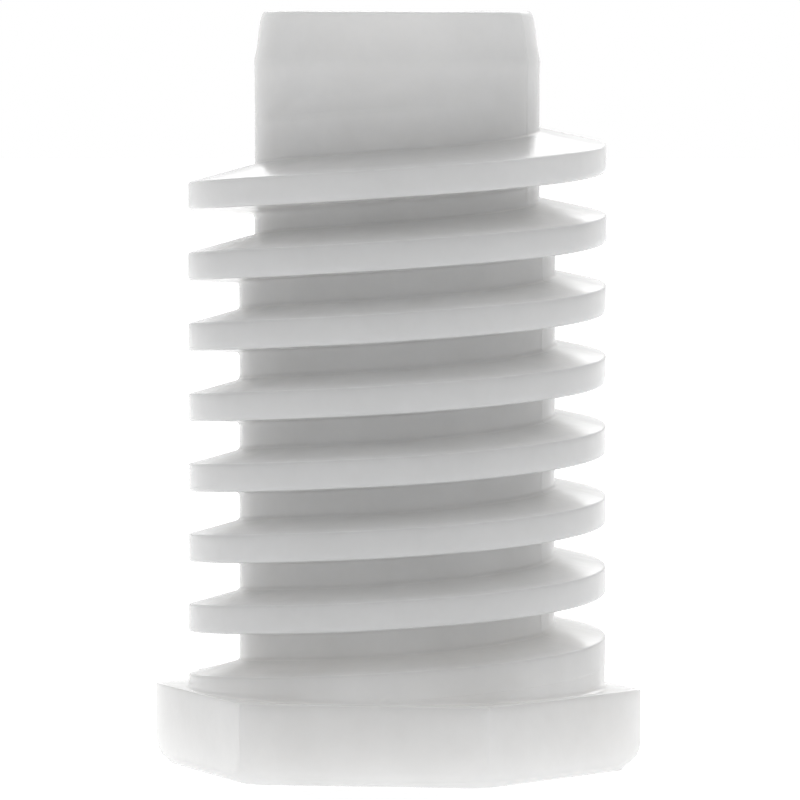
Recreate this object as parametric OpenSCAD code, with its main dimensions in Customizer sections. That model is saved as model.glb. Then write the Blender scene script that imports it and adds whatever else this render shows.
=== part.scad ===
// Hex-headed screw-in wall anchor, one injection-moulded plastic piece.
// Millimetres. +Z runs from the head to the nose, which goes into the wall first.
// The origin is the centre of the head's outer face, and a hexagon corner lies on +X.

/* [Head] */
// Hexagon size across the flats, for a 3/4 inch socket
head_af = 19.05; // [18:0.05:20]
// Thickness of the hexagon head
head_t = 3.6; // [2.6:0.1:3.9]
// Radius of the rounding along the outer face's six edges
edge_round = 0.6; // [0.2:0.1:0.9]
// How far the outer face's corners are rounded back
head_round = 0.9; // [0.3:0.1:1.2]

/* [Shank] */
// Overall length, from the head's outer face to the end of the nose
overall_l = 33.8; // [32:0.1:36]
// Diameter of the smooth nose
nose_d = 12.7; // [11.8:0.1:13.2]
// Height at which the plain nose begins, above the end of the thread
nose_start = 29.4; // [29.3:0.1:30]
// Diameter at the root of the first groove, next to the core's step
first_root_d = 12.7; // [11.7:0.1:13]
// Mould draft of that root: how much its diameter shrinks towards the nose
root_draft = 0.06; // [0.04:0.02:0.2]
// Diameter of the end of the nose, where its lead-in taper finishes
nose_tip_d = 12.05; // [11:0.05:12.6]
// Length of the nose's lead-in taper
nose_taper_l = 2.2; // [0.8:0.1:3]
// Diameter of the core between the threads
core_d = 14.1; // [13.8:0.1:14.6]
// Height at which the core steps down to the nose diameter
core_top = 23.2; // [22.6:0.1:23.6]

/* [Thread] */
// Outside diameter of the thread
thread_d = 18.65; // [17.6:0.05:18.9]
// Rise of the thread in one turn
pitch = 3.135; // [3.1:0.005:3.2]
// Width of the thread along the axis at its crest
crest_w = 1.25; // [1:0.05:1.35]
// Rise of the flank that faces the nose
flank_up = 0.55; // [0.3:0.05:0.6]
// Rise of the flank that faces the head
flank_down = 0.1; // [0.05:0.05:0.4]
// Small chamfer along both crest edges
crest_chamfer = 0.14; // [0.05:0.01:0.25]

/* [Collar] */
// Height of the collar's top above the outer face
collar_top = 4.25; // [4.1:0.05:4.5]

/* [Screw bore] */
// Diameter of the plain bore that the screw cuts its thread in
bore_d = 7; // [5:0.1:8]
// Mouth diameter of the lead-in at the head
mouth_d = 9; // [8.5:0.1:10]
// Depth of the lead-in at the head
mouth_l = 1; // [0.6:0.1:1.5]

/* [Hidden] */
corner_r = head_af / 2 / cos(30);
crest_r = thread_d / 2;
// The ridge's inner edge is buried in the core and, above the core's step, in the nose
bury_r = first_root_d / 2 - 0.25;
// The ridge is swept in steps of this many degrees
step_a = 9;
// Height of the crest's middle above angle 0, on the turn that is highest there
crest_z0 = 27.07;
// The ridge starts inside the head, and runs out round the back, near the nose
a_start = -2835;
a_full = 72;
a_end = 117;
// Below this angle the ridge reaches down to the collar
a_fill = -2502;

// Height of the crest's middle at a helix angle
function crest_z(a) = crest_z0 + pitch * a / 360;
// 1 along the whole thread, falling to 0 where it runs out at the nose
function fade(a) = a <= a_full ? 1 : max(0, 1 - (a - a_full) / (a_end - a_full));
function top_r(a) = bury_r + 0.1 + (crest_r - bury_r - 0.1) * pow(fade(a), 0.6);
// Axial rise of a flank, from how far it reaches outwards
function rise(f, a) = f * (top_r(a) - bury_r) / (crest_r - core_d / 2);
function fill(a) = a <= a_fill ? 0.6 : 0;
// One cross-section: buried edge, crest with its two small chamfers, buried edge
function section(a) = let (r = top_r(a), h = crest_w / 2, c = min(crest_chamfer, (r - bury_r) / 3))
    [[bury_r, -h - rise(flank_down, a) - fill(a)], [r - c, -h - fill(a)], [r, -h + c - fill(a)],
     [r, h - c], [r - c, h], [bury_r, h + rise(flank_up, a)]];

module ridge() {
    n = floor((a_end - a_start) / step_a);
    pts = [for (i = [0:n]) let (a = a_start + i * step_a) for (p = section(a)) [p[0] * cos(a), p[0] * sin(a), crest_z(a) + p[1]]];
    m = 6;
    sides = [for (i = [0:n - 1]) for (j = [0:m - 1])
                let (k = (j + 1) % m, p = i * m + j, q = i * m + k, r = (i + 1) * m + k, s = (i + 1) * m + j)
                    each [[p, q, r], [p, r, s]]];
    caps = [for (j = [1:m - 2]) [0, j + 1, j], for (j = [1:m - 2]) [n * m, n * m + j, n * m + j + 1]];
    polyhedron(points = pts, faces = concat(sides, caps));
}

// The space between two opposite flats, with the two lower edges rounded
module flat_pair() {
    r = edge_round;
    w = head_af / 2;
    rotate([90, 0, 0])
        linear_extrude(height = 3 * head_af, center = true)
            polygon(concat([for (i = [0:6]) let (a = 90 * i / 6) [w - r + r * sin(a), r - r * cos(a)]],
                           [[w, head_t], [-w, head_t]],
                           [for (i = [6:-1:0]) let (a = 90 * i / 6) [-w + r - r * sin(a), r - r * cos(a)]]));
}

module hex_head() {
    q = head_round;
    intersection() {
        rotate([0, 0, 30]) flat_pair();
        rotate([0, 0, 90]) flat_pair();
        rotate([0, 0, 150]) flat_pair();
        rotate_extrude($fn = 96)
            polygon([[0, -q], [corner_r - 1.3 * q, -q], [corner_r - 0.67 * q, 0.28 * q], [corner_r - 0.3 * q, 0.58 * q],
                     [corner_r - 0.08 * q, 1.05 * q], [corner_r + 0.1, 1.75 * q], [corner_r + 0.1, head_t + 1], [0, head_t + 1]]);
    }
}

module shank() {
    rotate_extrude($fn = 96)
        polygon([[0, 1], [crest_r + 0.03, 1], [crest_r + 0.03, collar_top], [core_d / 2, collar_top],
                 [core_d / 2, core_top], [first_root_d / 2, core_top],
                 [(first_root_d - root_draft) / 2, nose_start], [nose_d / 2, nose_start], [nose_d / 2, overall_l - nose_taper_l],
                 [nose_tip_d / 2 + 0.1, overall_l - 0.25], [nose_tip_d / 2 - 0.1, overall_l], [0, overall_l]]);
}

module screw_bore() {
    k = (mouth_d - bore_d) / mouth_l / 2;
    translate([0, 0, -1]) cylinder(d = bore_d, h = overall_l + 2, $fn = 96);
    translate([0, 0, -0.5]) cylinder(d1 = mouth_d + k, d2 = bore_d - k, h = mouth_l + 1, $fn = 96);
}

module anchor_body() {
    color([0.86, 0.86, 0.85])
    difference() {
        union() {
            hex_head();
            shank();
            ridge();
        }
        screw_bore();
    }
}

anchor_body();
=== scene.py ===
# Looks for the wall anchor: one finely meshed moulding stands for the CAD node, on a pale round studio floor.
import math
import bpy
import numpy as np
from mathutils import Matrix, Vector


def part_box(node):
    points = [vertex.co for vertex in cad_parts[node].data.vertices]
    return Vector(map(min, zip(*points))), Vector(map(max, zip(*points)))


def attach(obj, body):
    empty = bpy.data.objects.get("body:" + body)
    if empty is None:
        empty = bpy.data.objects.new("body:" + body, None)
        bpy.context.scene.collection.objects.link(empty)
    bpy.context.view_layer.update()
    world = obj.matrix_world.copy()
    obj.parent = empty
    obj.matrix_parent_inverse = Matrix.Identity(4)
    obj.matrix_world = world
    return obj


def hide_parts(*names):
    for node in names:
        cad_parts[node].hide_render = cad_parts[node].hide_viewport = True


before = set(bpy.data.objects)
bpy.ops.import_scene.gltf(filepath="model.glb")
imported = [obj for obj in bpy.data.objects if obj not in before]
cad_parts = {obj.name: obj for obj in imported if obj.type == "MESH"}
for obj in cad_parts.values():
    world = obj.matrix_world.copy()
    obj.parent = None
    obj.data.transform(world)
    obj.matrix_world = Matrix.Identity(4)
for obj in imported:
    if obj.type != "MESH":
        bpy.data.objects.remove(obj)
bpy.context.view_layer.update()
box_lo, box_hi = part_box("anchor_body")

# ---------------------------------------------------------------- design sizes, millimetres
L = (box_hi[2] - box_lo[2]) * 1000.0          # overall length
CORNER_R = box_hi[0] * 1000.0                 # hexagon corner radius
AF2 = CORNER_R * math.cos(math.radians(30.0)) # half the size across the flats
HEAD_T = 3.6
NOSE_R = 6.35
CORE_R = 7.05
STEP_Z = 23.2
MAJOR_R = 9.325
PITCH = 3.135
CREST_Z0 = 27.07
CREST_H = 0.625                               # half the crest's width
SLOPE_U = 0.55 / 2.275                         # axial rise of the upper flank for each mm inwards
SLOPE_D = 0.1 / 2.275
COLLAR_R = 9.3
COLLAR_Z = 4.25
BORE_R = 3.5
MOUTH_R = 4.5
LINE_A = -16.3                                # mould parting line, and its twin across the axis
A_FULL, A_END = 72.0, 117.0                   # where the thread runs out near the nose
Z_TOP = 29.7                                  # above this the nose is plain

# ---------------------------------------------------------------- camera, first of all
AZ = math.radians(8.8)
DIST = 335.0
EYE_UP = 1.0                                  # the eye stands this much above the end of the nose
PX = 22.38                                    # picture scale at the axis, pixels a millimetre in an 800 px frame
right = Vector((math.cos(AZ), math.sin(AZ), 0.0))
out = Vector((math.sin(AZ), -math.cos(AZ), 0.0))
off = right * ((400.0 - 397.2) / PX)
eye = out * DIST + Vector((0, 0, L + EYE_UP)) + off
aim = Vector((0, 0, L - (400.0 - 11.0) / PX)) + off
cam_data = bpy.data.cameras.new("camera")
cam = bpy.data.objects.new("camera", cam_data)
bpy.context.scene.collection.objects.link(cam)
cam.location = eye * 0.001
cam.rotation_euler = (aim - eye).to_track_quat("-Z", "Y").to_euler()
cam_data.sensor_width = 36.0
cam_data.lens = PX * (aim - eye).length / 800.0 * 36.0
cam_data.clip_start = 0.01
cam_data.clip_end = 20.0
bpy.context.scene.camera = cam


# ---------------------------------------------------------------- helpers
def sstep(a, b, x):
    t = np.clip((x - a) / (b - a), 0.0, 1.0)
    return t * t * (3.0 - 2.0 * t)


def wobble(phi, z, seed):
    """Slow, seeded unevenness between about -1 and 1, as moulded plastic shows."""
    a = np.radians(phi)
    return (np.sin(2 * a + 0.31 * z + seed) + np.sin(3 * a - 0.53 * z + 2.1 * seed) * 0.7
            + np.sin(5 * a + 0.9 * z + 3.7 * seed) * 0.45 + np.sin(9 * a - 1.7 * z + 1.3 * seed) * 0.3) / 2.45


# ---------------------------------------------------------------- columns round the axis, degrees
cols = set(round(-180.0 + 3.0 * i, 3) for i in range(120))
for c in range(-180, 180, 60):
    for d in (0.22, 0.46, 0.7, 1.4):
        for s in (-1, 1):
            a = c + s * d
            cols.add(round(a if a >= -180.0 else a + 360.0, 3))
for c in (LINE_A, LINE_A + 180.0):
    for d in (-0.75, -0.38, 0.0, 0.38, 0.75):
        cols.add(round(c + d, 3))
COLS = np.array(sorted(cols))
N = len(COLS)
RAD = np.radians(COLS)


# ---------------------------------------------------------------- the thread's profile, one turn tall
def core_above(u):
    """Core radius of the groove just above helix angle u: it runs out into the collar at the bottom end."""
    return CORE_R + (COLLAR_R - CORE_R) * sstep(-2785.0, -2862.0, u)


def root_fillets(u):
    """Fillet radii at the bottom and the top of the groove above helix angle u: the first groove is rounder."""
    first = sstep(-640.0, -590.0, u)
    return 0.2 + 0.35 * first, 0.24 + 0.7 * first


def bezier(p0, p1, p2, n):
    q = (np.arange(n) / (n - 1.0))[:, None, None]
    return (1 - q) ** 2 * p0[None] + 2 * q * (1 - q) * p1[None] + q * q * p2[None]


def corner(prev, p, nxt, rad, n):
    """Points of a rounded corner at p. prev, p and nxt are (2, N) arrays of radius and offset."""
    a, b = prev - p, nxt - p
    la, lb = np.hypot(*a), np.hypot(*b)
    a, b = a / la, b / lb
    cosv = np.clip((a * b).sum(0), -0.9999, 0.9999)
    t = np.minimum(rad / np.tan(np.arccos(cosv) / 2), 0.48 * np.minimum(la, lb))
    return bezier(p + a * t, p, p + b * t, n)


def profile(total):
    """(points, 2, N): radius and axial offset along one pitch, for the helix angle of each column."""
    n = len(total)
    fade = np.clip((A_END - total) / (A_END - A_FULL), 0.0, 1.0)
    round_fade = np.sqrt(np.clip(1.0 - (1.0 - fade) ** 2, 0.0, 1.0))
    lo, hi = core_above(total - 360.0), core_above(total)
    # above the core's step the groove goes down to the nose radius
    zc = CREST_Z0 + PITCH * total / 360.0
    lo = np.where(total > -300.0, NOSE_R, lo)
    hi = np.where(total > -660.0, NOSE_R, hi)
    top = MAJOR_R + 0.012 * wobble(total, zc, 1.0)
    top = np.maximum(lo, hi) + 0.002 + (top - np.maximum(lo, hi) - 0.002) * round_fade
    h = CREST_H * (0.25 + 0.75 * np.sqrt(round_fade))
    fb = root_fillets(total - 360.0)[1]
    ft = root_fillets(total)[0]
    one = np.ones(n)
    A = np.array([lo, -PITCH / 2 * one])
    B = np.array([lo, -h - SLOPE_D * (top - lo)])
    C = np.array([top, -h])
    D = np.array([top, h])
    E = np.array([hi, h + SLOPE_U * (top - hi)])
    F = np.array([hi, PITCH / 2 * one])
    arcs = [corner(A, B, C, fb, 7), corner(B, C, D, 0.2 * one, 6), corner(C, D, E, 0.13 * one, 6), corner(D, E, F, ft, 7)]
    out_pts = []

    def line(p, q, k, ends=False):
        for i in range(1, k + 1):
            f = i / (k + 1.0)
            out_pts.append(p + (q - p) * f)

    out_pts.append(A)
    line(A, arcs[0][0], 2)
    out_pts.extend(arcs[0])
    line(arcs[0][-1], arcs[1][0], 4)
    out_pts.extend(arcs[1])
    line(arcs[1][-1], arcs[2][0], 3)
    out_pts.extend(arcs[2])
    line(arcs[2][-1], arcs[3][0], 4)
    out_pts.extend(arcs[3])
    line(arcs[3][-1], F, 2)
    return np.array(out_pts)


def line_bump(phi):
    """Height of the parting line's tiny witness ridge."""
    d = np.minimum(np.abs(phi - LINE_A), np.abs(phi - LINE_A - 180.0))
    return 0.028 * np.clip(1.0 - d / 0.6, 0.0, 1.0)


z_low = HEAD_T + 0.16
turns = range(-9, 3)
stack = []
for k in turns:
    total = COLS + 360.0 * k
    p = profile(total)
    z = CREST_Z0 + PITCH * total / 360.0 + p[:, 1]
    r = p[:, 0]
    stack.append(np.stack([r, z], 1))
grid = np.concatenate(stack, 0)                # (M, 2, N)
P = stack[0].shape[0]
r, z = grid[:, 0], grid[:, 1]
phi2 = np.broadcast_to(COLS, r.shape)
# the wider core below the step
core = NOSE_R + (CORE_R - NOSE_R) * sstep(STEP_Z + 0.14, STEP_Z - 0.14, z)
r = np.maximum(r, core)
# the collar, with a rounded top edge
collar = COLLAR_R - (COLLAR_R - CORE_R) * sstep(COLLAR_Z - 0.02, COLLAR_Z + 0.3, z) ** 0.8
r = np.where(z < COLLAR_Z + 0.3, np.maximum(r, collar), r)
on_core = np.clip((CORE_R + 0.9 - r) / 0.5, 0.0, 1.0)
r = r + line_bump(phi2) * on_core
r = r + 0.010 * wobble(phi2, z, 2.0) * on_core
z = z + 0.018 * wobble(phi2, z * 0.4, 5.0) * np.clip((r - 7.4) / 1.0, 0.0, 1.0)
# the thread is a little out of square with the axis
z = z + 0.09 * np.cos(np.radians(phi2) - AZ) * np.clip((r - 6.9) / 2.3, 0.0, 1.0)

verts, faces = [], []


def add(rr, zz, a):
    verts.append((rr * math.cos(a) * 0.001, rr * math.sin(a) * 0.001, zz * 0.001))
    return len(verts) - 1


bottom_ring, top_ring, ids = [], [], np.zeros(r.shape, int)
for i in range(N):
    zi = z[:, i]
    below = np.nonzero(zi <= z_low + 0.012)[0][-1]
    above = np.nonzero(zi >= Z_TOP - 0.012)[0][0]
    rb = float(np.interp(z_low, zi, r[:, i]))
    bottom_ring.append(add(rb, z_low, RAD[i]))
    top_ring.append(add(NOSE_R + line_bump(COLS[i]), Z_TOP, RAD[i]))
    for m in range(r.shape[0]):
        if m <= below:
            ids[m, i] = bottom_ring[i]
        elif m >= above:
            ids[m, i] = top_ring[i]
        else:
            ids[m, i] = add(r[m, i], zi[m], RAD[i])


def quad(a, b, c, d):
    q = []
    for v in (a, b, c, d):
        if v not in q:
            q.append(v)
    if len(q) > 2:
        faces.append(tuple(q))


M = r.shape[0]
for i in range(N):
    j = (i + 1) % N
    shift = 0 if j else P                      # going past the last column, column 0 is one turn further up
    for m in range(M - 1):
        b = ids[m + shift, j] if m + shift < M else top_ring[j]
        c = ids[m + 1 + shift, j] if m + 1 + shift < M else top_ring[j]
        quad(ids[m, i], b, c, ids[m + 1, i])


def ring(radius, height):
    """A closed ring of one vertex for each column. radius and height are numbers or arrays."""
    radius = np.broadcast_to(radius, N)
    height = np.broadcast_to(height, N)
    return [add(float(radius[i]), float(height[i]), RAD[i]) for i in range(N)]


def join(lower, upper):
    """Faces between two rings, seen from outside when upper follows lower up the outer wall."""
    for i in range(N):
        j = (i + 1) % N
        quad(lower[i], lower[j], upper[j], upper[i])


# ---------------------------------------------------------------- nose, above the lattice
bump = line_bump(COLS)
prev = top_ring
rim_dip = 0.022 * (1.0 + wobble(COLS, 3.0, 9.0))
outer = [(6.35, 30.3, 1), (6.352, 30.9, 1), (6.362, 31.25, 1), (6.372, 31.5, 1), (6.352, 31.68, 1), (6.30, 31.9, 1), (6.25, 32.2, 1), (6.205, 32.6, 1),
         (6.165, 32.95, 1), (6.11, 33.3, 1), (6.05, 33.55, 1), (6.0, 33.67, 0.5), (5.95, 33.745, 0.3), (5.89, 33.785, 0), (5.81, L, 0)]
for rr, zz, b in outer:
    dip = rim_dip * float(sstep(32.8, L, np.array(zz)))
    nxt = ring(rr + bump * b + 0.006 * wobble(COLS, zz, 4.0), zz - dip)
    join(prev, nxt)
    prev = nxt
for rr, zz in ((5.2, L), (4.5, L), (3.95, L), (3.82, L - 0.012), (3.72, L - 0.05), (3.62, L - 0.13), (BORE_R + 0.03, L - 0.25), (BORE_R, L - 0.34)):
    nxt = ring(rr, zz - rim_dip * 0.9)
    join(prev, nxt)
    prev = nxt
for zz in (32.0, 28.0, 24.0, 20.0, 16.0, 12.0, 8.0, 5.0, 3.0, 1.9, 1.25, 1.08):
    nxt = ring(BORE_R + 0.0 * zz, zz)
    join(prev, nxt)
    prev = nxt
for rr, zz in ((BORE_R + 0.015, 0.99), (3.56, 0.92), (3.7, 0.79), (4.2, 0.295), (4.4, 0.095), (4.46, 0.04), (4.55, 0.008), (4.66, 0.0)):
    nxt = ring(rr, zz)
    join(prev, nxt)
    prev = nxt
inner_edge = prev

# ---------------------------------------------------------------- hexagon head, from the collar down
RHO = 0.14
EDGE = 0.6                                     # rounding along the six lower edges
from_corner = np.abs((COLS + 30.0) % 60.0 - 30.0)
c_r = CORNER_R - RHO / math.cos(math.radians(30.0))
flat_r = AF2 / np.cos(np.radians(30.0 - from_corner))
arc = c_r * np.cos(np.radians(from_corner)) + np.sqrt(np.maximum(RHO ** 2 - (c_r * np.sin(np.radians(from_corner))) ** 2, 0.0))
tangent = math.degrees(math.atan(RHO * 0.5 / (c_r + RHO * 0.866)))
hexa = np.where(from_corner <= tangent, arc, flat_r)


CUT_Z = (0.0, 0.25, 0.52, 0.95, 1.5)
CUT_IN = (0.88, 0.6, 0.27, 0.07, -0.05)


def limit(zz):
    """How far out the head reaches at height zz, where its lower corners are rounded back."""
    t = np.linspace(0.0, 1.0, 61)
    # a smooth curve through the cut's points
    zs = np.interp(t, np.linspace(0, 1, 5), CUT_Z)
    ins = np.interp(t, np.linspace(0, 1, 5), CUT_IN)
    k = np.ones(13) / 13.0
    zs = np.convolve(np.pad(zs, 6, mode="edge"), k, mode="valid")
    ins = np.convolve(np.pad(ins, 6, mode="edge"), k, mode="valid")
    return CORNER_R - float(np.interp(zz, zs, ins))


def edge_in(zz):
    """How far the six sides are drawn in at height zz by the rounding of their lower edges."""
    q = np.clip(1.0 - zz / EDGE, 0.0, 1.0)
    return EDGE * (1.0 - math.sqrt(max(0.0, 1.0 - q * q)))


def soft_min(a, b, k):
    h = np.clip(0.5 + 0.5 * (b - a) / k, 0.0, 1.0)
    return b + (a - b) * h - k * h * (1.0 - h)


e = 0.07
start_r = np.array([math.hypot(*verts[v][:2]) * 1000.0 for v in bottom_ring])
f = np.minimum(0.2, (flat_r - start_r) * 0.45)
prev = bottom_ring
for q in (0.35, 0.65, 0.85, 1.0):
    a = q * math.pi / 2
    nxt = ring(start_r + f * (1 - math.cos(a)), HEAD_T + 0.16 * (1 - math.sin(a)))
    join(nxt, prev)
    prev = nxt
top_in = hexa - e
for w in (0.5, 1.0):
    nxt = ring((start_r + f) * (1 - w) + top_in * w, HEAD_T)
    join(nxt, prev)
    prev = nxt
for a in (30.0, 60.0, 90.0):
    nxt = ring(top_in + e * math.sin(math.radians(a)), HEAD_T - e + e * math.cos(math.radians(a)))
    join(nxt, prev)
    prev = nxt
scale = hexa / AF2                            # turns a distance square to a side into one along a column
for zz in (3.2, 2.8, 2.4, 2.0, 1.7, 1.5, 1.3, 1.1, 0.95, 0.8, 0.68, 0.58, 0.49, 0.4, 0.32, 0.25, 0.19, 0.135, 0.09, 0.055, 0.028, 0.01, 0.002):
    side = hexa - edge_in(zz) * np.minimum(scale, 1.1547)
    rr = side if zz > 1.5 else soft_min(side, limit(zz) + 0 * hexa, 0.05)
    nxt = ring(rr, zz)
    join(nxt, prev)
    prev = nxt
last = rr
nxt = ring(last - 0.05, 0.0)
join(nxt, prev)
prev = nxt
for w in (0.12, 0.3, 0.5, 0.7, 0.88):
    nxt = ring((last - 0.05) * (1 - w) + 4.66 * w, 0.0)
    join(nxt, prev)
    prev = nxt
join(inner_edge, prev)

mesh = bpy.data.meshes.new("anchor_moulding")
mesh.from_pydata(verts, [], faces)
mesh.validate(verbose=False)
import bmesh
bm = bmesh.new()
bm.from_mesh(mesh)
loose = [v for v in bm.verts if not v.link_faces]
bmesh.ops.delete(bm, geom=loose, context="VERTS")
bmesh.ops.recalc_face_normals(bm, faces=bm.faces)
for fc in bm.faces:
    fc.smooth = True
open_edges = sum(1 for x in bm.edges if len(x.link_faces) != 2)
print("moulding: verts", len(bm.verts), "faces", len(bm.faces), "edges not shared by two faces", open_edges, "volume mm3", round(bm.calc_volume() * 1e9, 1))
bm.to_mesh(mesh)
bm.free()
body = bpy.data.objects.new("anchor_moulding", mesh)
bpy.context.scene.collection.objects.link(body)
wn = body.modifiers.new("weighted", "WEIGHTED_NORMAL")
wn.weight = 50
wn.keep_sharp = False
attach(body, "root")
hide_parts("anchor_body")


# ---------------------------------------------------------------- material: natural white nylon, as moulded
def nylon():
    m = bpy.data.materials.new("natural_nylon")
    m.use_nodes = True
    nt = m.node_tree
    nt.nodes.clear()

    def node(kind, **kw):
        n = nt.nodes.new(kind)
        for k, v in kw.items():
            setattr(n, k, v)
        return n

    out_n = node("ShaderNodeOutputMaterial")
    b = node("ShaderNodeBsdfPrincipled")
    nt.links.new(b.outputs[0], out_n.inputs[0])
    b.inputs["Subsurface Weight"].default_value = 1.0
    b.inputs["Subsurface Radius"].default_value = (1.0, 0.97, 0.93)
    b.inputs["Subsurface Scale"].default_value = 0.014
    b.inputs["IOR"].default_value = 1.5
    tc = node("ShaderNodeTexCoord")
    # cloudy flow marks
    n1 = node("ShaderNodeTexNoise")
    n1.inputs["Scale"].default_value = 230.0
    n1.inputs["Detail"].default_value = 5.0
    n1.inputs["Roughness"].default_value = 0.6
    nt.links.new(tc.outputs["Object"], n1.inputs["Vector"])
    ramp = node("ShaderNodeValToRGB")
    ramp.color_ramp.elements[0].position = 0.3
    ramp.color_ramp.elements[0].color = (0.62, 0.62, 0.618, 1)
    ramp.color_ramp.elements[1].position = 0.72
    ramp.color_ramp.elements[1].color = (0.68, 0.68, 0.678, 1)
    nt.links.new(n1.outputs["Fac"], ramp.inputs["Fac"])
    nt.links.new(ramp.outputs["Color"], b.inputs["Base Color"])
    # satin sheen that varies a little
    n2 = node("ShaderNodeTexNoise")
    n2.inputs["Scale"].default_value = 620.0
    n2.inputs["Detail"].default_value = 3.0
    nt.links.new(tc.outputs["Object"], n2.inputs["Vector"])
    mr = node("ShaderNodeMapRange")
    mr.inputs["From Min"].default_value = 0.3
    mr.inputs["From Max"].default_value = 0.7
    mr.inputs["To Min"].default_value = 0.16
    mr.inputs["To Max"].default_value = 0.24
    nt.links.new(n2.outputs["Fac"], mr.inputs["Value"])
    nt.links.new(mr.outputs["Result"], b.inputs["Roughness"])
    # fine mould texture
    n3 = node("ShaderNodeTexNoise")
    n3.inputs["Scale"].default_value = 2600.0
    n3.inputs["Detail"].default_value = 4.0
    nt.links.new(tc.outputs["Object"], n3.inputs["Vector"])
    bp = node("ShaderNodeBump")
    bp.inputs["Strength"].default_value = 0.12
    bp.inputs["Distance"].default_value = 0.00004
    nt.links.new(n3.outputs["Fac"], bp.inputs["Height"])
    nt.links.new(bp.outputs["Normal"], b.inputs["Normal"])
    return m


body.data.materials.append(nylon())


# ---------------------------------------------------------------- studio: a pale round floor and soft lights
def plain(name, colour, rough):
    m = bpy.data.materials.new(name)
    m.use_nodes = True
    b = m.node_tree.nodes["Principled BSDF"]
    b.inputs["Base Color"].default_value = (*colour, 1)
    b.inputs["Roughness"].default_value = rough
    b.inputs["Specular IOR Level"].default_value = 0.1
    return m


FLOOR_GLOW = 0.56                             # the anchor stands on a lit white table


def floor_mesh():
    nseg, size = 96, 1.2
    v = [(0.0, 0.0, -0.00002)]
    fcs = []
    for j, rad in enumerate((0.02, 0.05, 0.12, 0.3, 0.7, size)):
        for i in range(nseg):
            a = 2 * math.pi * i / nseg
            v.append((rad * math.cos(a), rad * math.sin(a), -0.00002))
    for i in range(nseg):
        k = (i + 1) % nseg
        fcs.append((0, 1 + i, 1 + k))
        for j in range(5):
            a, bq = 1 + j * nseg, 1 + (j + 1) * nseg
            fcs.append((a + i, bq + i, bq + k, a + k))
    me = bpy.data.meshes.new("floor")
    me.from_pydata(v, [], fcs)
    o = bpy.data.objects.new("floor", me)
    bpy.context.scene.collection.objects.link(o)
    glow = plain("floor_white", (0.9, 0.9, 0.9), 0.9)
    b = glow.node_tree.nodes["Principled BSDF"]
    b.inputs["Emission Color"].default_value = (1.0, 1.0, 1.0, 1)
    b.inputs["Emission Strength"].default_value = FLOOR_GLOW
    me.materials.append(glow)
    return o


floor = floor_mesh()

TENT = (-0.97, -0.4, 1.0, 0.5)              # where the tent starts and stops darkening, and its two levels
world = bpy.data.worlds.new("studio")
bpy.context.scene.world = world
world.use_nodes = True
wt = world.node_tree
bg = wt.nodes["Background"]
bg.inputs["Strength"].default_value = 1.0
# a white tent all round, darker on the side where a photographer would stand
tc = wt.nodes.new("ShaderNodeTexCoord")
dot = wt.nodes.new("ShaderNodeVectorMath")
dot.operation = "DOT_PRODUCT"
dot.inputs[1].default_value = (out.x, out.y, out.z)
wt.links.new(tc.outputs["Generated"], dot.inputs[0])
fall = wt.nodes.new("ShaderNodeMapRange")
fall.interpolation_type = "SMOOTHSTEP"
fall.inputs["From Min"].default_value = TENT[0]
fall.inputs["From Max"].default_value = TENT[1]
fall.inputs["To Min"].default_value = TENT[2]
fall.inputs["To Max"].default_value = TENT[3]
wt.links.new(dot.outputs["Value"], fall.inputs["Value"])
wt.links.new(fall.outputs["Result"], bg.inputs["Color"])


def softbox(name, loc, target, size, power):
    d = bpy.data.lights.new(name, "AREA")
    d.shape = "RECTANGLE"
    d.size, d.size_y = size
    d.energy = power
    o = bpy.data.objects.new(name, d)
    bpy.context.scene.collection.objects.link(o)
    o.location = loc
    o.rotation_euler = (Vector(target) - Vector(loc)).to_track_quat("-Z", "Y").to_euler()
    return o


def place(across, depth, height):
    """A point given in the picture's own directions: metres to the right, towards the camera, and up."""
    v = right * across + out * depth
    return (v.x, v.y, height)


softbox("back_top", place(0.05, -0.35, 0.3), (0, 0, 0.015), (0.4, 0.4), 0.72)

bpy.context.scene.view_settings.view_transform = "Standard"
